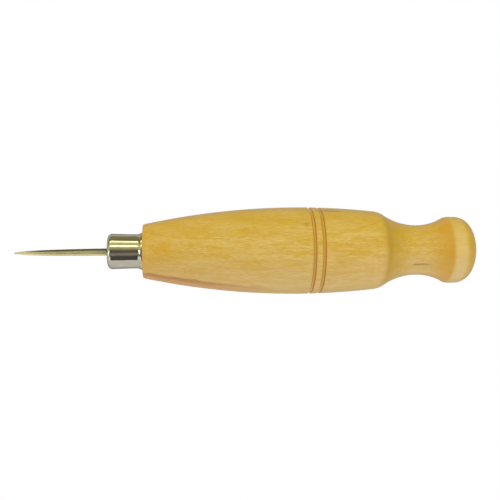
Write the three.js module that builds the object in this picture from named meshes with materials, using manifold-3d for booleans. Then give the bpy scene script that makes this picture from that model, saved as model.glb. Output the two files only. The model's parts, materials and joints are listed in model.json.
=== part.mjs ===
// A bookbinding awl: a turned hardwood palm handle, a drawn metal ferrule over its front tenon, and
// a round steel needle whose square tang is driven into the handle. Millimetres, +Z up.
// The awl lies on its barrel with the needle towards -X. Distances "along" run on the handle's
// axis from the wood's front shoulder, positive towards the knob.
import * as THREE from "three";
import { mergeVertices } from "three/addons/utils/BufferGeometryUtils.js";
import Module from "manifold-3d";

// ---- driving dimensions ----
const OVERALL_LENGTH = 152.4;
const HANDLE_LENGTH = 111.1; // from the shoulder to the end of the knob
const NEEDLE_TIP = HANDLE_LENGTH - OVERALL_LENGTH;

const BARREL_RADIUS = 14.35;
const BARREL_PEAK = 51.3; // where the barrel is thickest
const BARREL_CURVE = 238.6; // radius of the long arc of the barrel's side
const BARREL_STEP = 8; // facet length along the barrel
const REST_LAND = [41.2, 53.4]; // the level stretch it rests on, under its centre of mass
const SHOULDER_EDGE = 0.35; // small round on the rim of the front shoulder

const GROOVES = [54.35, 57.4]; // the two turned lines
const GROOVE_WIDTH = 1.05;
const GROOVE_DEPTH = 0.35;

const NECK_RADIUS = 8.36;
const NECK_MIDDLE = 91.2;
const NECK_CURVE_FRONT = 21.5;
const NECK_CURVE_BACK = 19.1;
const NECK_FRONT_EDGE = 77.7; // where the barrel breaks into the neck
const NECK_BACK_EDGE = 100.9; // where the neck meets the knob
const BREAK_LENGTH = 1.5; // softening to each side of the front edge

const KNOB_RADIUS = 11.18;
const KNOB_ROUND = 5.6;
const KNOB_DOME = 17;

const FERRULE_LENGTH = 11.35;
const FERRULE_RADIUS = 5.78;
const FERRULE_CORNER = 1.5;
const FERRULE_WALL = 0.5;
const WAIST_RADIUS = 5.58;
const WAIST_PLACE = -1.8;
const MOUTH_RADIUS = 6.1;
const MOUTH_GAP = 0.3; // between the ferrule's mouth and the wood's shoulder

const TENON_RADIUS = 4.75;
const TENON_LENGTH = 10.3;
const TENON_CHAMFER = 0.5;
const SEAT_INNER_RADIUS = 6.4; // the shoulder is clear of the ferrule's mouth outside this radius

const NEEDLE_RADIUS = 1.16;
const NEEDLE_TILT = 1.2; // degrees nose-down: the needle is driven in by hand, not quite true
const NEEDLE_PIVOT = 3.4; // where the tilted needle crosses the handle's axis
const SHANK_END = 2;
const TANG_START = 1;
const TANG_END = 22;
const TANG_RADIUS = 1.05; // half the diagonal of the square tang at its front
const TANG_END_RADIUS = 0.45;
const BORE_RADIUS = 1.85;
const BORE_DEPTH = 24;
const BORE_CONE = 0.8; // length of the drill point's cone

const HANDLE_SIDES = 24; // few enough that it rests on a facet instead of rolling
const FERRULE_SIDES = 40;
const NEEDLE_SIDES = 24;

// ---- outlines: every point is (radius, distance along the axis) ----
const point = (along, radius) => new THREE.Vector2(radius, along);

// Points on a circular arc. Angles are in degrees from the axis's + direction.
function arc(centreAlong, centreRadius, curve, fromAngle, toAngle, steps) {
  return Array.from({ length: steps + 1 }, (_, i) => {
    const angle = THREE.MathUtils.degToRad(fromAngle + ((toAngle - fromAngle) * i) / steps);
    return point(centreAlong + curve * Math.cos(angle), centreRadius + curve * Math.sin(angle));
  });
}

// How far an arc of this radius has dropped at a distance from its crown.
const drop = (curve, distance) => curve - Math.sqrt(curve ** 2 - distance ** 2);

const barrelRadius = (along) => BARREL_RADIUS - drop(BARREL_CURVE, along - BARREL_PEAK);

function neckRadius(along) {
  const curve = along < NECK_MIDDLE ? NECK_CURVE_FRONT : NECK_CURVE_BACK;
  return NECK_RADIUS + drop(curve, along - NECK_MIDDLE);
}

// Points of a side given by a formula, from one distance to another.
function side(radiusAt, from, to, steps) {
  return Array.from({ length: steps + 1 }, (_, i) => {
    const along = from + ((to - from) * i) / steps;
    return point(along, radiusAt(along));
  });
}

function groove(middle) {
  const half = GROOVE_WIDTH / 2;
  const floor = half / 2;
  return [
    point(middle - half, barrelRadius(middle - half)),
    point(middle - floor, barrelRadius(middle) - GROOVE_DEPTH),
    point(middle + floor, barrelRadius(middle) - GROOVE_DEPTH),
    point(middle + half, barrelRadius(middle + half)),
  ];
}

function softened(from, corner, to) {
  return new THREE.QuadraticBezierCurve(from, corner, to).getPoints(3);
}

function boreOutline() {
  return [
    point(BORE_DEPTH + BORE_CONE, 0),
    point(BORE_DEPTH, BORE_RADIUS),
    point(-TENON_LENGTH, BORE_RADIUS),
  ];
}

function tenonOutline() {
  return [
    point(-TENON_LENGTH, TENON_RADIUS - TENON_CHAMFER),
    point(TENON_CHAMFER - TENON_LENGTH, TENON_RADIUS),
    point(0, TENON_RADIUS),
    point(0, SEAT_INNER_RADIUS),
  ];
}

function barrelOutline() {
  const frontEnd = REST_LAND[0] - BARREL_STEP;
  const backStart = GROOVES[1] + BARREL_STEP / 2;
  const backEnd = NECK_FRONT_EDGE - BARREL_STEP / 2;
  return [
    point(0, barrelRadius(0) - SHOULDER_EDGE),
    ...side(barrelRadius, SHOULDER_EDGE, frontEnd, Math.round(frontEnd / BARREL_STEP)),
    ...REST_LAND.map((along) => point(along, BARREL_RADIUS)),
    ...GROOVES.flatMap(groove),
    ...side(barrelRadius, backStart, backEnd, Math.round((backEnd - backStart) / BARREL_STEP)),
  ];
}

function neckOutline() {
  const breakStart = NECK_FRONT_EDGE - BREAK_LENGTH;
  const breakEnd = NECK_FRONT_EDGE + BREAK_LENGTH;
  const knobEdge = NECK_BACK_EDGE - BREAK_LENGTH / 2;
  return [
    ...softened(
      point(breakStart, barrelRadius(breakStart)),
      point(NECK_FRONT_EDGE, barrelRadius(NECK_FRONT_EDGE)),
      point(breakEnd, neckRadius(breakEnd)),
    ),
    ...side(neckRadius, breakEnd, knobEdge, 12).slice(1, -1),
    ...softened(
      point(knobEdge, neckRadius(knobEdge)),
      point(NECK_BACK_EDGE, KNOB_RADIUS),
      point(NECK_BACK_EDGE + BREAK_LENGTH, KNOB_RADIUS),
    ),
  ];
}

function knobOutline() {
  const domeCentre = HANDLE_LENGTH - KNOB_DOME;
  const rise = KNOB_RADIUS - KNOB_ROUND;
  const reach = Math.sqrt((KNOB_DOME - KNOB_ROUND) ** 2 - rise ** 2);
  const meet = THREE.MathUtils.radToDeg(Math.atan2(rise, reach));
  const dome = arc(domeCentre, 0, KNOB_DOME, meet, 0, 5);
  return [
    ...arc(domeCentre + reach, rise, KNOB_ROUND, 90, meet, 6),
    ...dome.slice(1, -1),
    point(HANDLE_LENGTH, 0),
  ];
}

// The ferrule's skin at a depth below its outer surface: a rounded front corner, a body that
// narrows a little to the waist, and a flare that levels out at the mouth.
function ferruleSkin(depth) {
  const cornerAlong = FERRULE_CORNER - FERRULE_LENGTH;
  const cornerRadius = FERRULE_RADIUS - FERRULE_CORNER;
  const waist = WAIST_RADIUS - depth;
  const mouth = MOUTH_RADIUS - depth;
  const flareMiddle = (WAIST_PLACE - MOUTH_GAP) / 2;
  const flare = new THREE.CubicBezierCurve(
    point(WAIST_PLACE, waist),
    point(flareMiddle, waist),
    point(flareMiddle, mouth),
    point(-MOUTH_GAP, mouth),
  );
  return [...arc(cornerAlong, cornerRadius, FERRULE_CORNER - depth, 180, 90, 5), ...flare.getPoints(6)];
}

// The ferrule's hole is as wide as the bore behind it.
function ferruleOutline() {
  return [
    point(-FERRULE_LENGTH, BORE_RADIUS),
    ...ferruleSkin(0),
    ...ferruleSkin(FERRULE_WALL).reverse(),
    point(FERRULE_WALL - FERRULE_LENGTH, BORE_RADIUS),
    point(-FERRULE_LENGTH, BORE_RADIUS),
  ];
}

// The needle's taper: a sharp tip that fills out quickly and then runs almost straight.
function needleOutline() {
  const taper = new THREE.CubicBezierCurve(
    point(NEEDLE_TIP, 0),
    point(NEEDLE_TIP + 0.8, 0.85),
    point(NEEDLE_TIP + 12, 1.1),
    point(-FERRULE_LENGTH, NEEDLE_RADIUS),
  );
  return [...taper.getPoints(14), point(SHANK_END, NEEDLE_RADIUS), point(SHANK_END, 0)];
}

// ---- solids ----
// A flat facet, not an edge, faces straight down.
function turned(outline, sides) {
  return new THREE.LatheGeometry(outline, sides, Math.PI / sides);
}

function solidOf(wasm, geometry) {
  const bare = geometry.clone().deleteAttribute("normal").deleteAttribute("uv");
  const merged = mergeVertices(bare);
  return new wasm.Manifold(
    new wasm.Mesh({
      numProp: 3,
      vertProperties: merged.attributes.position.array,
      triVerts: new Uint32Array(merged.index.array),
    }),
  );
}

function joined(wasm, first, second) {
  const mesh = solidOf(wasm, first).add(solidOf(wasm, second)).getMesh();
  const geometry = new THREE.BufferGeometry();
  geometry.setAttribute("position", new THREE.BufferAttribute(mesh.vertProperties, 3));
  geometry.setIndex(new THREE.BufferAttribute(mesh.triVerts, 1));
  geometry.computeVertexNormals();
  return geometry;
}

function handleGeometry() {
  const outline = [
    ...boreOutline(),
    ...tenonOutline(),
    ...barrelOutline(),
    ...neckOutline(),
    ...knobOutline(),
  ];
  return turned(outline, HANDLE_SIDES);
}

function needleGeometry(wasm) {
  const tang = new THREE.CylinderGeometry(TANG_END_RADIUS, TANG_RADIUS, TANG_END - TANG_START, 4);
  tang.translate(0, (TANG_START + TANG_END) / 2, 0);
  return joined(wasm, turned(needleOutline(), NEEDLE_SIDES), tang);
}

// ---- materials ----
const lacqueredWood = new THREE.MeshStandardMaterial({ color: 0xd6af58, roughness: 0.35 });
const nickelPlate = new THREE.MeshStandardMaterial({
  color: 0xc9c5b4,
  roughness: 0.15,
  metalness: 1,
});
const polishedSteel = new THREE.MeshStandardMaterial({
  color: 0xb9b299,
  roughness: 0.25,
  metalness: 1,
});

// ---- assembly ----
const wasm = await Module();
wasm.setup();

function piece(name, geometry, material) {
  const mesh = new THREE.Mesh(geometry, material);
  mesh.name = name;
  return mesh;
}

// The turned axis is the outlines' Y, which this group lays along X, with the object's box centred.
const axis = new THREE.Group();
axis.rotation.z = -Math.PI / 2;
axis.position.x = OVERALL_LENGTH / 2 - HANDLE_LENGTH;
axis.position.z = BARREL_RADIUS * Math.cos(Math.PI / HANDLE_SIDES);

// The needle turns about its pivot: the group's X points across the axis, to the awl's side.
const needleSeat = new THREE.Group();
needleSeat.position.y = NEEDLE_PIVOT;
needleSeat.rotation.x = THREE.MathUtils.degToRad(NEEDLE_TILT);
const needle = piece("blade", needleGeometry(wasm), polishedSteel);
needle.position.y = -NEEDLE_PIVOT;
needleSeat.add(needle);

axis.add(piece("handle", handleGeometry(), lacqueredWood));
axis.add(piece("ferrule", turned(ferruleOutline(), FERRULE_SIDES), nickelPlate));
axis.add(needleSeat);

const group = new THREE.Group();
group.add(axis);

export default group;
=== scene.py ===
"""Looks of a bookbinding awl: turned lacquered handle, nickel-plated ferrule, steel needle."""

import json
import math

import bmesh
import bpy
from mathutils import Matrix, Vector


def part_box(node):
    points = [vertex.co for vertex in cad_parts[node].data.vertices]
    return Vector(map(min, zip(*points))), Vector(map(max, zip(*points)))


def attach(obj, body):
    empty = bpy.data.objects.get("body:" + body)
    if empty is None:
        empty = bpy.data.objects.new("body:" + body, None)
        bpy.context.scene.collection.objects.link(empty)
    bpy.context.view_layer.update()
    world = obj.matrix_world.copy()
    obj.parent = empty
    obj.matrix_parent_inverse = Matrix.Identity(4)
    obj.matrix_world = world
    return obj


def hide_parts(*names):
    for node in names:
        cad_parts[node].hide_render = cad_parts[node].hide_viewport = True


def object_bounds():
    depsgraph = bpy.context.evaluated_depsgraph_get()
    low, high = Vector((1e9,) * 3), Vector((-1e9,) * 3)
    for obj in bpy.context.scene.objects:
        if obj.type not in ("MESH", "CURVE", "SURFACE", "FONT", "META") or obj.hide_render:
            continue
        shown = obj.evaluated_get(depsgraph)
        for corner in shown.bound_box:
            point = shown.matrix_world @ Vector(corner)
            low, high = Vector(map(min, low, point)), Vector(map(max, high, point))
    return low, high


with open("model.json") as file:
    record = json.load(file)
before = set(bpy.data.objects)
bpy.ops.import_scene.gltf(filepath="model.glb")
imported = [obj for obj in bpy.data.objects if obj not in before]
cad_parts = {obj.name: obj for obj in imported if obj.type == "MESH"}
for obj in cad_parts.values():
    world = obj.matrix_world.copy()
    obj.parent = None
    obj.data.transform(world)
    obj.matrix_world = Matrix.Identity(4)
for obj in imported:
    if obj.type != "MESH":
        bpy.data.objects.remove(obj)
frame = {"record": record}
cad_low, cad_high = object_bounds()

MM = 0.001

# ---- places, from the frame ----
handle_low, handle_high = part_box("handle")
needle_low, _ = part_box("blade")
mounts = {mount["name"]: mount for mount in frame["record"]["mounts"]}
SHOULDER_X = mounts["shoulder_seat"]["pos_m"][0]
AXIS_Z = (handle_low.z + handle_high.z) / 2

# ---- sizes in millimetres; "along" runs on the axis from the wood's front shoulder ----
HANDLE_LENGTH = (handle_high.x - SHOULDER_X) / MM
NEEDLE_TIP = (needle_low.x - SHOULDER_X) / MM

BARREL_RADIUS = 14.35
BARREL_PEAK = 51.3
BARREL_CURVE = 238.6
SHOULDER_EDGE = 0.35
SIDE_START = 0.65  # where the barrel's side begins, behind the small round on the shoulder's rim

GROOVES = (54.35, 57.4)
GROOVE_WIDTH = 1.05
GROOVE_DEPTH = 0.35

NECK_RADIUS = 8.36
NECK_MIDDLE = 91.2
NECK_CURVE_FRONT = 21.5
NECK_CURVE_BACK = 19.1
NECK_FRONT_EDGE = 77.7
NECK_BACK_EDGE = 100.9
BREAK_LENGTH = 1.5

KNOB_RADIUS = 11.18
KNOB_ROUND = 5.6
KNOB_DOME = 17

FERRULE_LENGTH = 11.35
FERRULE_RADIUS = 5.78
FERRULE_CORNER = 1.5
FERRULE_WALL = 0.5
WAIST_RADIUS = 5.58
WAIST_PLACE = -1.8
WAIST_START = -5.0
MOUTH_RADIUS = 6.1
MOUTH_PLACE = -0.05
HOLE_RADIUS = 1.55

TENON_RADIUS = 4.95
TENON_LENGTH = 10.6
TENON_CHAMFER = 1
BORE_RADIUS = 1.7
BORE_DEPTH = 24

NEEDLE_RADIUS = 1.16
NEEDLE_TILT = 1.2
NEEDLE_PIVOT = 3.4
SHANK_END = 2
TANG_END = 22
TANG_END_RADIUS = 0.45

# ---- fineness of the meshes ----
HANDLE_SIDES = 160
FERRULE_SIDES = 160
NEEDLE_SIDES = 64
BARREL_STEP = 0.5  # length of the mesh's steps along the barrel, its grooves and the neck
GROOVE_STEP = 0.04
NECK_STEP = 0.3
SHARP_ANGLE = 35  # edges that turn by more degrees than this stay sharp


# ---- outlines: lists of (along, radius) ----
def arc(centre_along, centre_radius, curve, from_angle, to_angle, steps):
    """Points on a circular arc, with angles in degrees from the axis's + direction."""
    points = []
    for i in range(steps + 1):
        angle = math.radians(from_angle + (to_angle - from_angle) * i / steps)
        points.append(
            (centre_along + curve * math.cos(angle), centre_radius + curve * math.sin(angle))
        )
    return points


def bezier(points, steps):
    """Points on the Bezier curve with these control points."""
    degree = len(points) - 1
    curve = []
    for i in range(steps + 1):
        t = i / steps
        weights = [
            math.comb(degree, k) * (1 - t) ** (degree - k) * t**k for k in range(degree + 1)
        ]
        curve.append(tuple(sum(w * p[axis] for w, p in zip(weights, points)) for axis in (0, 1)))
    return curve


def side(radius_at, start, end, step):
    """Points of a side given by a formula, about one step apart."""
    count = max(1, round((end - start) / step))
    places = [start + (end - start) * i / count for i in range(count + 1)]
    return [(along, radius_at(along)) for along in places]


def drop(curve, distance):
    """How far an arc of this radius has dropped at a distance from its crown."""
    return curve - math.sqrt(curve**2 - distance**2)


def barrel_radius(along):
    """The barrel's side: one long arc, with flat-bottomed grooves cut into it."""
    radius = BARREL_RADIUS - drop(BARREL_CURVE, along - BARREL_PEAK)
    for middle in GROOVES:
        reach = abs(along - middle) / (GROOVE_WIDTH / 2)
        if reach < 1:
            radius -= GROOVE_DEPTH * (1 - reach**4)
    return radius


def neck_radius(along):
    """The neck's hollow: two arcs that meet where it is thinnest."""
    curve = NECK_CURVE_FRONT if along < NECK_MIDDLE else NECK_CURVE_BACK
    return NECK_RADIUS + drop(curve, along - NECK_MIDDLE)


def handle_outline():
    """From the bottom of the bore, out round the tenon and along the outside to the knob's end."""
    break_start = NECK_FRONT_EDGE - BREAK_LENGTH
    break_end = NECK_FRONT_EDGE + BREAK_LENGTH
    knob_edge = NECK_BACK_EDGE - BREAK_LENGTH / 2
    grooves_start = GROOVES[0] - GROOVE_WIDTH
    grooves_end = GROOVES[1] + GROOVE_WIDTH
    rim = barrel_radius(0) - SHOULDER_EDGE
    dome_centre = HANDLE_LENGTH - KNOB_DOME
    rise = KNOB_RADIUS - KNOB_ROUND
    reach = math.sqrt((KNOB_DOME - KNOB_ROUND) ** 2 - rise**2)
    meet = math.degrees(math.atan2(rise, reach))
    return [
        (BORE_DEPTH, 0),
        (BORE_DEPTH, BORE_RADIUS),
        (-TENON_LENGTH, BORE_RADIUS),
        (-TENON_LENGTH, TENON_RADIUS - TENON_CHAMFER),
        (TENON_CHAMFER - TENON_LENGTH, TENON_RADIUS),
        (0, TENON_RADIUS),
        *arc(SHOULDER_EDGE, rim, SHOULDER_EDGE, 180, 100, steps=8),
        *side(barrel_radius, SIDE_START, grooves_start, BARREL_STEP),
        *side(barrel_radius, grooves_start, grooves_end, GROOVE_STEP)[1:],
        *side(barrel_radius, grooves_end, break_start, BARREL_STEP)[1:],
        *bezier(
            [
                (break_start, barrel_radius(break_start)),
                (NECK_FRONT_EDGE, barrel_radius(NECK_FRONT_EDGE)),
                (break_end, neck_radius(break_end)),
            ],
            steps=16,
        )[1:],
        *side(neck_radius, break_end, knob_edge, NECK_STEP)[1:],
        *bezier(
            [
                (knob_edge, neck_radius(knob_edge)),
                (NECK_BACK_EDGE, KNOB_RADIUS),
                (NECK_BACK_EDGE + BREAK_LENGTH, KNOB_RADIUS),
            ],
            steps=12,
        )[1:],
        *arc(dome_centre + reach, rise, KNOB_ROUND, 90, meet, steps=24),
        *arc(dome_centre, 0, KNOB_DOME, meet, 0, steps=24)[1:-1],
        (HANDLE_LENGTH, 0),
    ]


def ferrule_skin(depth):
    """The ferrule's skin at a depth below its outer surface, from the front face to the mouth."""
    corner_along = FERRULE_CORNER - FERRULE_LENGTH
    corner_radius = FERRULE_RADIUS - FERRULE_CORNER
    body_start = (corner_along, FERRULE_RADIUS - depth)
    body_middle = (WAIST_START, WAIST_RADIUS - depth)
    waist = (WAIST_PLACE, WAIST_RADIUS - depth)
    mouth = (MOUTH_PLACE, MOUTH_RADIUS - depth)
    flare_middle = (WAIST_PLACE + MOUTH_PLACE) / 2
    flare = [waist, (flare_middle, waist[1]), (flare_middle, mouth[1]), mouth]
    return [
        *arc(corner_along, corner_radius, FERRULE_CORNER - depth, 180, 90, steps=24),
        *bezier([body_start, body_middle, waist], steps=32)[1:],
        *bezier(flare, steps=24)[1:],
    ]


def ferrule_outline():
    """The cup's wall, from the rounded rim of the needle's hole to the mouth and back inside."""
    half_wall = FERRULE_WALL / 2
    rim_radius = HOLE_RADIUS + half_wall
    return [
        *arc(half_wall - FERRULE_LENGTH, rim_radius, half_wall, 270, 180, steps=6),
        *ferrule_skin(0),
        *reversed(ferrule_skin(FERRULE_WALL)),
        (FERRULE_WALL - FERRULE_LENGTH, rim_radius),
    ]


def needle_outline():
    """A sharp tip that fills out quickly, an almost straight shank and a slimmer hidden tang."""
    taper = bezier(
        [
            (NEEDLE_TIP, 0),
            (NEEDLE_TIP + 0.8, 0.85),
            (NEEDLE_TIP + 12, 1.1),
            (-FERRULE_LENGTH, NEEDLE_RADIUS),
        ],
        steps=80,
    )
    return [*taper, (SHANK_END, NEEDLE_RADIUS), (TANG_END, TANG_END_RADIUS), (TANG_END, 0)]


# ---- meshes ----
def turned(name, outline, sides, closed=False):
    """A body of revolution about the awl's axis, as a smooth-shaded object."""
    mesh = bmesh.new()
    rings = []
    for along, radius in outline:
        x = SHOULDER_X + along * MM
        if radius == 0:
            rings.append([mesh.verts.new((x, 0, AXIS_Z))])
            continue
        ring = []
        for i in range(sides):
            angle = 2 * math.pi * i / sides
            y = radius * MM * math.cos(angle)
            z = radius * MM * math.sin(angle)
            ring.append(mesh.verts.new((x, y, AXIS_Z + z)))
        rings.append(ring)
    pairs = list(zip(rings, rings[1:]))
    if closed:
        pairs.append((rings[-1], rings[0]))
    for first, second in pairs:
        for i in range(sides):
            corners = [
                first[i % len(first)],
                first[(i + 1) % len(first)],
                second[(i + 1) % len(second)],
                second[i % len(second)],
            ]
            mesh.faces.new(list(dict.fromkeys(corners)))
    bmesh.ops.recalc_face_normals(mesh, faces=mesh.faces)
    data = bpy.data.meshes.new(name)
    mesh.to_mesh(data)
    mesh.free()
    for polygon in data.polygons:
        polygon.use_smooth = True
    data.set_sharp_from_angle(angle=math.radians(SHARP_ANGLE))
    piece = bpy.data.objects.new(name, data)
    bpy.context.collection.objects.link(piece)
    return piece


# ---- material tools ----
class Nodes:
    """Short ways to add and link shader nodes in one tree."""

    def __init__(self, tree):
        self.tree = tree
        tree.nodes.clear()

    def add(self, kind, **settings):
        node = self.tree.nodes.new("ShaderNode" + kind)
        for key, value in settings.items():
            setattr(node, key, value)
        return node

    def put(self, socket, value):
        if isinstance(value, bpy.types.NodeSocket):
            self.tree.links.new(value, socket)
        elif value is not None:
            socket.default_value = value

    def math(self, operation, first, second=None, third=None):
        node = self.add("Math", operation=operation)
        for socket, value in zip(node.inputs, (first, second, third)):
            self.put(socket, value)
        return node.outputs[0]

    def times(self, first, second):
        return self.math("MULTIPLY", first, second)

    def mapped(self, value, low, high, to_low=0.0, to_high=1.0):
        """A smooth step from to_low at low to to_high at high."""
        node = self.add("MapRange", interpolation_type="SMOOTHSTEP")
        for socket, given in zip(node.inputs, (value, low, high, to_low, to_high)):
            self.put(socket, given)
        return node.outputs[0]

    def between(self, value, rise, top_start, top_end, fall):
        """1 between top_start and top_end, with smooth slopes down to 0 at rise and fall."""
        return self.times(self.mapped(value, rise, top_start), self.mapped(value, fall, top_end))

    def mix(self, factor, first, second):
        node = self.add("Mix", data_type="RGBA")
        self.put(node.inputs["Factor"], factor)
        colours = [socket for socket in node.inputs if socket.type == "RGBA"]
        self.put(colours[0], first)
        self.put(colours[1], second)
        return next(socket for socket in node.outputs if socket.type == "RGBA")

    def noise(self, vector, scale=1.0, detail=3.0, roughness=0.55):
        node = self.add("TexNoise")
        self.put(node.inputs["Vector"], vector)
        self.put(node.inputs["Scale"], scale)
        self.put(node.inputs["Detail"], detail)
        self.put(node.inputs["Roughness"], roughness)
        return node.outputs["Fac"]

    def grain(self, place, scale, offset=(0, 0, 0), detail=3.0, roughness=0.55):
        """Noise with its own scale along, across and up; a low scale gives long flecks."""
        node = self.add("Mapping")
        self.put(node.inputs["Vector"], place)
        self.put(node.inputs["Scale"], scale)
        self.put(node.inputs["Location"], offset)
        return self.noise(node.outputs["Vector"], detail=detail, roughness=roughness)

    def bump(self, height, strength, distance, normal=None):
        node = self.add("Bump")
        self.put(node.inputs["Height"], height)
        self.put(node.inputs["Strength"], strength)
        self.put(node.inputs["Distance"], distance)
        self.put(node.inputs["Normal"], normal)
        return node.outputs["Normal"]


def material(name):
    """A new material: its node helper, Principled shader and place in the awl's own coordinates.

    The place is in millimetres: along the axis from the shoulder, sideways and up from the axis.
    """
    made = bpy.data.materials.new(name)
    made.use_nodes = True
    nodes = Nodes(made.node_tree)
    shader = nodes.add("BsdfPrincipled")
    output = nodes.add("OutputMaterial")
    nodes.put(output.inputs["Surface"], shader.outputs["BSDF"])
    position = nodes.add("TexCoord").outputs["Object"]
    shifted = nodes.add("VectorMath", operation="SUBTRACT")
    nodes.put(shifted.inputs[0], position)
    nodes.put(shifted.inputs[1], (SHOULDER_X, 0, AXIS_Z))
    scaled = nodes.add("VectorMath", operation="SCALE")
    nodes.put(scaled.inputs[0], shifted.outputs[0])
    nodes.put(scaled.inputs["Scale"], 1 / MM)
    return made, nodes, shader, scaled.outputs[0]


def split(nodes, vector):
    node = nodes.add("SeparateXYZ")
    nodes.put(node.inputs[0], vector)
    return node.outputs


# ---- wood; colours are linear, with alpha ----
GOLD = (0.66, 0.425, 0.070, 1)
PALE = (0.71, 0.50, 0.17, 1)
AMBER = (0.53, 0.305, 0.042, 1)
LIGHT_FLECK = (0.82, 0.60, 0.25, 1)
ORANGE_SHADE = (0.66, 0.355, 0.040, 1)
OLIVE_GRAIN_AND_SHADE = (0.49, 0.305, 0.020, 1)
# painted light: deeper yellow on faces turned to the warm ceiling light, rosy on faces turned to
# the floor's white bounce
TOP_LIGHT_YELLOW = (0.62, 0.395, 0.035, 1)
FLOOR_BOUNCE_TINT = (0.65, 0.47, 0.23, 1)
RIM_SHADE = (0.43, 0.255, 0.035, 1)
RIM_SHADE_LINE = (0.26, 0.16, 0.06, 1)
RUST = (0.55, 0.235, 0.075, 1)
RUST_EDGE = (0.30, 0.12, 0.03, 1)
BARK = (0.24, 0.10, 0.02, 1)
GROOVE_FLOOR_REFLECTION = (0.58, 0.37, 0.13, 1)
GROOVE_WALL_SHADE = (0.36, 0.15, 0.02, 1)
CREASE_SHADE = (0.44, 0.27, 0.03, 1)
# the paler band on the knob's rounded front is a painted sheen
KNOB_SHEEN = (0.74, 0.56, 0.25, 1)

PITH = (34.0, 22.0)  # how far the tree's middle lies behind and above the handle's axis
RING_WIDTH = 2.4
RING_WANDER = 10.0  # how far the rings stray from true circles
RING_LEAN = 0.04  # how far the rings shift with each millimetre along the handle
WOOD_MARKS = (  # middle, size and strength of each small dark mark
    ((60.7, 8.2, 11.6), (5.0, 0.7, 0.5), 0.7),
    ((57.3, 8.2, 11.6), (1.3, 1.3, 1.3), 0.7),
    ((52.0, 1.4, 14.2), (1.4, 1.2, 1.2), 0.3),
    ((89.4, -7.4, 3.6), (7.5, 0.65, 0.5), 0.6),
)


def growth_rings(nodes, place):
    """How strongly the late, darker wood of a year's ring shows at a place, from 0 to 1."""
    along, across, up = split(nodes, place)
    from_pith = nodes.add("CombineXYZ")
    nodes.put(from_pith.inputs[1], nodes.math("ADD", across, PITH[0]))
    nodes.put(from_pith.inputs[2], nodes.math("ADD", up, PITH[1]))
    length = nodes.add("VectorMath", operation="LENGTH")
    nodes.put(length.inputs[0], from_pith.outputs[0])
    wander = nodes.grain(place, (0.025, 0.06, 0.06), detail=2.0)
    distance = nodes.math("MULTIPLY_ADD", wander, RING_WANDER, length.outputs["Value"])
    distance = nodes.math("MULTIPLY_ADD", along, RING_LEAN, distance)
    ring = nodes.math("FRACT", nodes.math("DIVIDE", distance, RING_WIDTH))
    return nodes.between(ring, 0.5, 0.96, 0.96, 1.0)


def grain_colour(nodes, place, flecks):
    """Golden wood with soft clouds, faint rings and short flecks along the grain."""
    clouds = nodes.grain(place, (0.10, 0.30, 0.30), (2, 9, 4), 4.0, 0.6)
    dashes = nodes.grain(place, (0.22, 2.1, 2.1), (5, 8, 3), 3.0, 0.6)
    colour = nodes.mix(nodes.mapped(clouds, 0.36, 0.64), GOLD, PALE)
    colour = nodes.mix(nodes.times(growth_rings(nodes, place), 0.22), colour, AMBER)
    colour = nodes.mix(nodes.mapped(dashes, 0.50, 0.72, 0.0, 0.45), colour, AMBER)
    colour = nodes.mix(nodes.mapped(flecks, 0.53, 0.70, 0.0, 0.68), colour, AMBER)
    return nodes.mix(nodes.mapped(flecks, 0.47, 0.31, 0.0, 0.60), colour, LIGHT_FLECK)


def knob_sheen(nodes, along, colour):
    """A painted sheen: a paler band round the front of the knob, where its rounded shoulder
    catches the light.
    """
    start, end = NECK_BACK_EDGE - 0.2, NECK_BACK_EDGE + 6
    band = nodes.between(along, start, NECK_BACK_EDGE + 0.3, NECK_BACK_EDGE + 3, end)
    return nodes.mix(nodes.times(band, 0.65), colour, KNOB_SHEEN)


def side_light_tint(nodes, colour):
    """Painted light by side: surfaces that face back, towards the warm ceiling light, are a deeper
    yellow, and those in front are paler and rosier, a painted bounce of white light from the
    floor.
    """
    facing_back = split(nodes, nodes.add("NewGeometry").outputs["Normal"])[1]
    colour = nodes.mix(nodes.mapped(facing_back, -0.48, 0.56, 0.0, 0.40), colour, TOP_LIGHT_YELLOW)
    return nodes.mix(nodes.mapped(facing_back, -0.45, -1.05, 0.0, 0.40), colour, FLOOR_BOUNCE_TINT)


def end_grain_and_shade(nodes, place, colour):
    """Slopes across the grain: olive where they face the knob's end, partly end grain that soaks
    up more lacquer and partly painted shade;
    orange where they face the needle, painted shade and warm bounce light in the neck's hollow. On
    the knob's end the rings and pores show too."""
    slope = split(nodes, nodes.add("NewGeometry").outputs["Normal"])[0]
    # Partly real end grain, partly painted shade: olive on slopes that face the knob's end.
    colour = nodes.mix(nodes.mapped(slope, 0.08, 0.55, 0.0, 0.8), colour, OLIVE_GRAIN_AND_SHADE)
    # Painted shade and warm bounce light: orange on slopes that face the needle.
    colour = nodes.mix(nodes.mapped(slope, -0.04, -0.46, 0.0, 0.75), colour, ORANGE_SHADE)
    end_face = nodes.mapped(slope, 0.6, 0.95)
    rings = nodes.times(growth_rings(nodes, place), end_face)
    pores = nodes.times(nodes.mapped(nodes.noise(place, 3.6, 2.0), 0.52, 0.68), end_face)
    colour = nodes.mix(nodes.times(rings, 0.55), colour, AMBER)
    return nodes.mix(nodes.times(pores, 0.3), colour, BARK)


def edge_shade(nodes, colour):
    """Painted shade: the lacquered wood turns darker where the surface turns away from the view,
    with a darker line at the outline.
    """
    facing = nodes.add("LayerWeight").outputs["Facing"]
    colour = nodes.mix(nodes.mapped(facing, 0.40, 0.90, 0.0, 0.8), colour, RIM_SHADE)
    return nodes.mix(nodes.mapped(facing, 0.84, 1.0, 0.0, 0.7), colour, RIM_SHADE_LINE)


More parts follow.
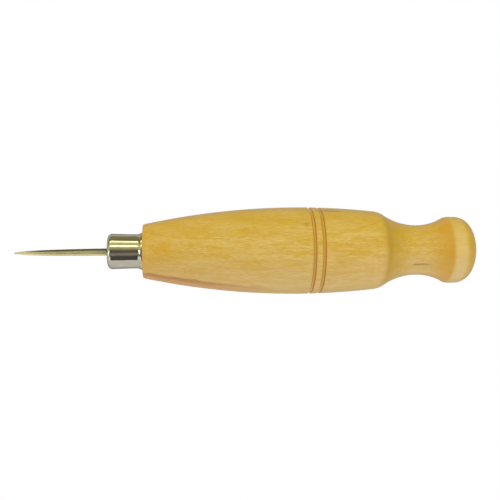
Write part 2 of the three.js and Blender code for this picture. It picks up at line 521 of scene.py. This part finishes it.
def barrel_streak(nodes, place, colour):
    """A rust-coloured streak low on the front of the barrel, darkest along its upper edge."""
    along, across, up = split(nodes, place)
    from_top = nodes.math("ARCTAN2", nodes.times(across, -1.0), up)
    wave = nodes.grain(place, (0.10, 0.5, 0.5), detail=4.0, roughness=0.65)
    level = nodes.math("MULTIPLY_ADD", wave, 0.4, from_top)
    level = nodes.math("MULTIPLY_ADD", along, -0.003, level)
    fade = nodes.mapped(along, 52.0, 12.0)
    body = nodes.times(nodes.between(level, 1.54, 1.68, 1.8, 2.5), fade)
    edge = nodes.times(nodes.between(level, 1.55, 1.63, 1.65, 1.78), fade)
    colour = nodes.mix(nodes.times(body, 0.62), colour, RUST)
    return nodes.mix(nodes.times(edge, 0.45), colour, RUST_EDGE)


def mark(nodes, place, colour, middle, size, strength):
    """A small dark mark in the wood: a ragged ellipsoid, long in the grain's direction."""
    offset = nodes.add("VectorMath", operation="SUBTRACT")
    nodes.put(offset.inputs[0], place)
    nodes.put(offset.inputs[1], middle)
    scaled = nodes.add("VectorMath", operation="DIVIDE")
    nodes.put(scaled.inputs[0], offset.outputs[0])
    nodes.put(scaled.inputs[1], size)
    length = nodes.add("VectorMath", operation="LENGTH")
    nodes.put(length.inputs[0], scaled.outputs[0])
    ragged = nodes.grain(place, (0.8, 3.0, 3.0))
    reach = nodes.math("MULTIPLY_ADD", ragged, 0.9, length.outputs["Value"])
    return nodes.mix(nodes.mapped(reach, 1.5, 0.8, 0.0, strength), colour, BARK)


def groove_light_and_shade(nodes, along, colour, middle):
    """One groove's painted light and shade: a darker orange halo, a paler rosy painted reflection
    on its floor and two thin dark walls of painted shade.
    """
    reach = nodes.math("ABSOLUTE", nodes.math("SUBTRACT", along, middle))
    colour = nodes.mix(nodes.mapped(reach, 1.1, 0.5, 0.0, 0.6), colour, ORANGE_SHADE)
    colour = nodes.mix(nodes.mapped(reach, 0.42, 0.30, 0.0, 0.45), colour, GROOVE_FLOOR_REFLECTION)
    wall = nodes.between(reach, 0.27, 0.42, 0.48, 0.60)
    return nodes.mix(nodes.times(wall, 0.75), colour, GROOVE_WALL_SHADE)


def neck_crease_shade(nodes, along, colour):
    """Painted shade: a soft dark line where the barrel breaks into the neck."""
    reach = nodes.math("ABSOLUTE", nodes.math("SUBTRACT", along, NECK_FRONT_EDGE + BREAK_LENGTH))
    return nodes.mix(nodes.mapped(reach, 1.6, 0.1, 0.0, 0.5), colour, CREASE_SHADE)


def wood():
    """Turned, clear-lacquered pale hardwood."""
    made, nodes, shader, place = material("lacquered_wood")
    along = split(nodes, place)[0]
    flecks = nodes.grain(place, (0.36, 3.8, 3.8), (7, 3, 1), 3.0, 0.6)
    colour = grain_colour(nodes, place, flecks)
    colour = knob_sheen(nodes, along, colour)
    colour = side_light_tint(nodes, colour)
    colour = end_grain_and_shade(nodes, place, colour)
    colour = edge_shade(nodes, colour)
    colour = barrel_streak(nodes, place, colour)
    for middle, size, strength in WOOD_MARKS:
        colour = mark(nodes, place, colour, middle, size, strength)
    for middle in GROOVES:
        colour = groove_light_and_shade(nodes, along, colour, middle)
    colour = neck_crease_shade(nodes, along, colour)
    nodes.put(shader.inputs["Base Color"], colour)
    nodes.put(shader.inputs["Roughness"], nodes.mapped(flecks, 0.2, 0.8, 0.40, 0.55))
    nodes.put(shader.inputs["IOR"], 1.36)
    nodes.put(shader.inputs["Normal"], nodes.bump(flecks, 0.15, 0.04 * MM))
    return made


# ---- metals ----
NICKEL = (0.49, 0.47, 0.38, 1)
NICKEL_HAZE = (0.43, 0.41, 0.33, 1)
NICKEL_SPECK = (0.36, 0.33, 0.25, 1)
NICKEL_EDGE_SHADE = (0.12, 0.12, 0.10, 1)
STEEL = (0.74, 0.70, 0.51, 1)
STEEL_DULL = (0.50, 0.47, 0.31, 1)
STEEL_EDGE_SHADE = (0.20, 0.18, 0.13, 1)
STRAW_AND_SHEEN = (0.74, 0.66, 0.30, 1)
BRIGHT = (0.98, 0.92, 0.66, 1)
NEEDLE_DARK = (0.075, 0.075, 0.045, 1)
METAL_TINT = (0.4, 0.4, 0.4, 1)  # colour of the metals' reflections seen edge-on


def nickel():
    """Bright nickel plate, a little hazy, with painted shade that darkens it where it is seen
    edge-on.
    """
    made, nodes, shader, place = material("nickel_plate")
    draw_lines = nodes.grain(place, (0.25, 9.0, 9.0))
    haze = nodes.grain(place, (0.35, 0.5, 0.5))
    specks = nodes.grain(place, (1.6, 4.0, 4.0), (3, 1, 2))
    facing = nodes.add("LayerWeight").outputs["Facing"]
    colour = nodes.mix(nodes.mapped(haze, 0.3, 0.7), NICKEL_HAZE, NICKEL)
    colour = nodes.mix(nodes.mapped(specks, 0.5, 0.8, 0.0, 0.4), colour, NICKEL_SPECK)
    # Painted shade: darker where the plate is seen edge-on.
    colour = nodes.mix(nodes.mapped(facing, 0.60, 0.90, 0.0, 0.75), colour, NICKEL_EDGE_SHADE)
    nodes.put(shader.inputs["Base Color"], colour)
    nodes.put(shader.inputs["Metallic"], 1.0)
    nodes.put(shader.inputs["Specular Tint"], METAL_TINT)
    nodes.put(shader.inputs["Roughness"], nodes.mapped(draw_lines, 0.3, 0.75, 0.05, 0.12))
    fine = nodes.bump(draw_lines, 0.05, 0.02 * MM)
    nodes.put(shader.inputs["Normal"], nodes.bump(haze, 0.10, 0.10 * MM, fine))
    return made


def round_needle(nodes, place):
    """The angle round the needle's own tilted axis: 0 in front, a quarter turn on top."""
    along, across, up = split(nodes, place)
    from_pivot = nodes.math("SUBTRACT", NEEDLE_PIVOT, along)
    own_up = nodes.math("MULTIPLY_ADD", from_pivot, math.tan(math.radians(NEEDLE_TILT)), up)
    return nodes.math("ARCTAN2", own_up, nodes.times(across, -1.0))


def needle_top_shade(nodes, along, angle, colour):
    """Painted shade: a dark band along the needle's upper side that fades towards the tip, and a
    grey point.
    """
    fade = nodes.mapped(along, NEEDLE_TIP + 1, NEEDLE_TIP + 9, 0.3, 0.9)
    # painted shade along the needle's upper side
    top_shade = nodes.times(nodes.between(angle, 1.05, 1.50, 2.75, 3.1), fade)
    point = nodes.mapped(along, NEEDLE_TIP + 1.3, NEEDLE_TIP + 0.3, 0.0, 0.7)
    return nodes.mix(point, nodes.mix(top_shade, colour, NEEDLE_DARK), NEEDLE_DARK)


def steel():
    """Turned and polished steel: fine rings, scratches, straw-coloured patches, a bright taper,
    painted light on its lower side and painted shade along its top and its outline.
    """
    made, nodes, shader, place = material("needle_steel")
    along = split(nodes, place)[0]
    angle = round_needle(nodes, place)
    rings = nodes.grain(place, (9.0, 0.8, 0.8))
    scratches = nodes.grain(place, (0.2, 4.0, 4.0), (4, 1, 6))
    patches = nodes.grain(place, (0.35, 0.9, 0.9), (2, 6, 1), 2.0)
    taper = nodes.mapped(along, NEEDLE_TIP + 13, NEEDLE_TIP + 3, 0.0, 0.7)
    facing = nodes.add("LayerWeight").outputs["Facing"]
    colour = nodes.mix(nodes.mapped(scratches, 0.35, 0.7), STEEL_DULL, STEEL)
    colour = nodes.mix(nodes.mapped(patches, 0.45, 0.65, 0.0, 0.4), colour, STRAW_AND_SHEEN)
    # Painted light: paler straw on the needle's front and lower side, as lit from the floor.
    colour = nodes.mix(nodes.mapped(angle, 1.0, 0.4, 0.0, 0.5), colour, STRAW_AND_SHEEN)
    colour = nodes.mix(taper, colour, BRIGHT)
    colour = needle_top_shade(nodes, along, angle, colour)
    # Painted shade: darker where the needle is seen edge-on.
    colour = nodes.mix(nodes.mapped(facing, 0.55, 0.90, 0.0, 0.8), colour, STEEL_EDGE_SHADE)
    nodes.put(shader.inputs["Base Color"], colour)
    nodes.put(shader.inputs["Metallic"], 1.0)
    nodes.put(shader.inputs["Specular Tint"], METAL_TINT)
    nodes.put(shader.inputs["Roughness"], nodes.mapped(rings, 0.3, 0.7, 0.42, 0.56))
    fine = nodes.bump(rings, 0.1, 0.01 * MM)
    nodes.put(shader.inputs["Normal"], nodes.bump(scratches, 0.25, 0.03 * MM, fine))
    return made


# ---- pieces ----
def give(piece, finish, node):
    """Finish a piece, and let it stand for a CAD node."""
    piece.data.materials.append(finish)
    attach(piece, "root")
    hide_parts(node)


def build_awl():
    handle = turned("turned_handle", handle_outline(), HANDLE_SIDES)
    give(handle, wood(), "handle")
    ferrule = turned("drawn_ferrule", ferrule_outline(), FERRULE_SIDES, closed=True)
    give(ferrule, nickel(), "ferrule")
    needle = turned("round_needle", needle_outline(), NEEDLE_SIDES)
    pivot = Vector((SHOULDER_X + NEEDLE_PIVOT * MM, 0, AXIS_Z))
    tilt = Matrix.Rotation(-math.radians(NEEDLE_TILT), 4, "Y")
    needle.data.transform(Matrix.Translation(pivot) @ tilt @ Matrix.Translation(-pivot))
    give(needle, steel(), "blade")


# ---- studio ----
VIEW_ELEVATION = 60.0
VIEW_YAW = 5.3
VIEW_ROLL = 0.28
VIEW_DISTANCE = 236.3 * MM
VIEW_TARGET = 35.0  # the place on the axis that the camera looks at
VIEW_RISE = 0.26  # how far above that place the picture's middle lies
LENS = 51.4

LIGHT_DISTANCE = 0.5
STRIP_LENGTH = 0.7
STRIP_LIGHT = (1, 0.95, 0.66)
WINDOW_LIGHT = (0.88, 0.92, 1.0)
FILL_LIGHT = (1.0, 0.96, 0.90)
WHITE = (1, 1, 1, 1)
FLOOR_HALF = 2.0
FLOOR_GAP = 0.1 * MM
ROOM = (  # degrees up from the front, over the top and down behind; colour
    (0, (0.107, 0.098, 0.110)),
    (28, (0.13, 0.12, 0.12)),
    (38, (0.42, 0.40, 0.35)),
    (46, (0.40, 0.37, 0.32)),
    (54, (0.19, 0.16, 0.12)),
    (64, (0.20, 0.17, 0.11)),
    (75, (0.48, 0.44, 0.28)),
    (86, (0.93, 0.90, 0.48)),
    (118, (0.95, 0.92, 0.48)),
    (136, (0.42, 0.37, 0.17)),
    (146, (0.34, 0.30, 0.14)),
    (168, (0.42, 0.40, 0.19)),
    (180, (0.42, 0.40, 0.20)),
)


def build_camera():
    """The camera looks down at the awl, from slightly to the needle's side of its middle."""
    yaw, elevation = math.radians(VIEW_YAW), math.radians(VIEW_ELEVATION)
    back = Vector(
        (
            -math.sin(yaw),
            -math.cos(yaw) * math.cos(elevation),
            math.cos(yaw) * math.sin(elevation),
        )
    )
    right = (Vector((1, 0, 0)) - back * back.x).normalized()
    right.rotate(Matrix.Rotation(-math.radians(VIEW_ROLL), 3, back))
    up = back.cross(right)
    target = Vector((SHOULDER_X + VIEW_TARGET * MM, 0, AXIS_Z)) + up * VIEW_RISE * MM
    turn = Matrix((right, up, back)).transposed().to_4x4()
    data = bpy.data.cameras.new("camera")
    data.lens = LENS
    data.clip_start = 0.01
    camera = bpy.data.objects.new("camera", data)
    camera.matrix_world = Matrix.Translation(target + back * VIEW_DISTANCE) @ turn
    bpy.context.collection.objects.link(camera)
    bpy.context.scene.camera = camera


def panel(name, radiance, colour, size, direction):
    """A rectangular light in a direction from the awl, facing it. Its size is in metres."""
    away = Vector(direction).normalized()
    data = bpy.data.lights.new(name, "AREA")
    data.shape = "RECTANGLE"
    data.size, data.size_y = size
    data.energy = radiance * math.pi * size[0] * size[1]
    data.color = colour
    lamp = bpy.data.objects.new(name, data)
    lamp.location = Vector((SHOULDER_X, 0, AXIS_Z)) + away * LIGHT_DISTANCE
    lamp.rotation_euler = away.to_track_quat("Z", "Y").to_euler()
    bpy.context.collection.objects.link(lamp)
    return lamp


def ceiling_strip(name, angle, radiance, width):
    """A long light over the awl and along it, at an angle in degrees up from the front."""
    tilt = math.radians(angle)
    direction = (0, -math.cos(tilt), math.sin(tilt))
    lamp = panel(name, radiance, STRIP_LIGHT, (STRIP_LENGTH, width), direction)
    lamp.rotation_euler = (math.radians(90 - angle), 0, 0)


def build_lights():
    """Two ceiling strips, a cool window beside the needle and two soft fills low in front."""
    ceiling_strip("strip_front", angle=95.5, radiance=3.8, width=0.06)
    ceiling_strip("strip_back", angle=127.0, radiance=2.6, width=0.09)
    panel("window", 3.5, WINDOW_LIGHT, (0.12, 0.60), (-0.93, -0.30, 0.10))
    panel("fill_back", 1.8, FILL_LIGHT, (0.60, 0.50), (0.75, -0.70, 0.10))
    panel("fill_front", 1.3, FILL_LIGHT, (0.30, 0.30), (-0.65, -0.75, 0.0))


def build_room():
    """A dim warm room: dark in front, a bright ceiling, an olive wall behind.

    The awl reflects the room; the camera sees plain white instead.
    """
    world = bpy.data.worlds.new("room")
    bpy.context.scene.world = world
    world.use_nodes = True
    nodes = Nodes(world.node_tree)
    _, y, z = split(nodes, nodes.add("TexCoord").outputs["Generated"])
    angle = nodes.math("ARCTAN2", z, nodes.times(y, -1.0))
    ramp = nodes.add("ValToRGB")
    nodes.put(ramp.inputs[0], nodes.math("DIVIDE", angle, math.pi))
    elements = ramp.color_ramp.elements
    while len(elements) < len(ROOM):
        elements.new(1.0)
    for element, (degrees, colour) in zip(elements, ROOM):
        element.position = degrees / 180
        element.color = (*colour, 1)
    background = nodes.add("Background")
    nodes.put(background.inputs["Color"], ramp.outputs["Color"])
    plain = nodes.add("Background")
    nodes.put(plain.inputs["Color"], WHITE)
    switch = nodes.add("MixShader")
    nodes.put(switch.inputs[0], nodes.add("LightPath").outputs["Is Camera Ray"])
    nodes.put(switch.inputs[1], background.outputs[0])
    nodes.put(switch.inputs[2], plain.outputs[0])
    output = nodes.add("OutputWorld")
    nodes.put(output.inputs["Surface"], switch.outputs[0])


def build_floor():
    """A white light table, which leaves no shadow."""
    half = FLOOR_HALF
    data = bpy.data.meshes.new("floor")
    corners = [(-half, -half, 0), (half, -half, 0), (half, half, 0), (-half, half, 0)]
    data.from_pydata(corners, [], [(0, 1, 2, 3)])
    floor = bpy.data.objects.new("floor", data)
    floor.location.z = cad_low.z - FLOOR_GAP
    bpy.context.collection.objects.link(floor)
    made = bpy.data.materials.new("light_table")
    made.use_nodes = True
    nodes = Nodes(made.node_tree)
    glow = nodes.add("Emission")
    nodes.put(glow.inputs["Color"], WHITE)
    nodes.put(glow.inputs["Strength"], 1.0)
    output = nodes.add("OutputMaterial")
    nodes.put(output.inputs["Surface"], glow.outputs[0])
    data.materials.append(made)


build_awl()
build_camera()
build_lights()
build_room()
build_floor()
bpy.context.scene.view_settings.view_transform = "Standard"
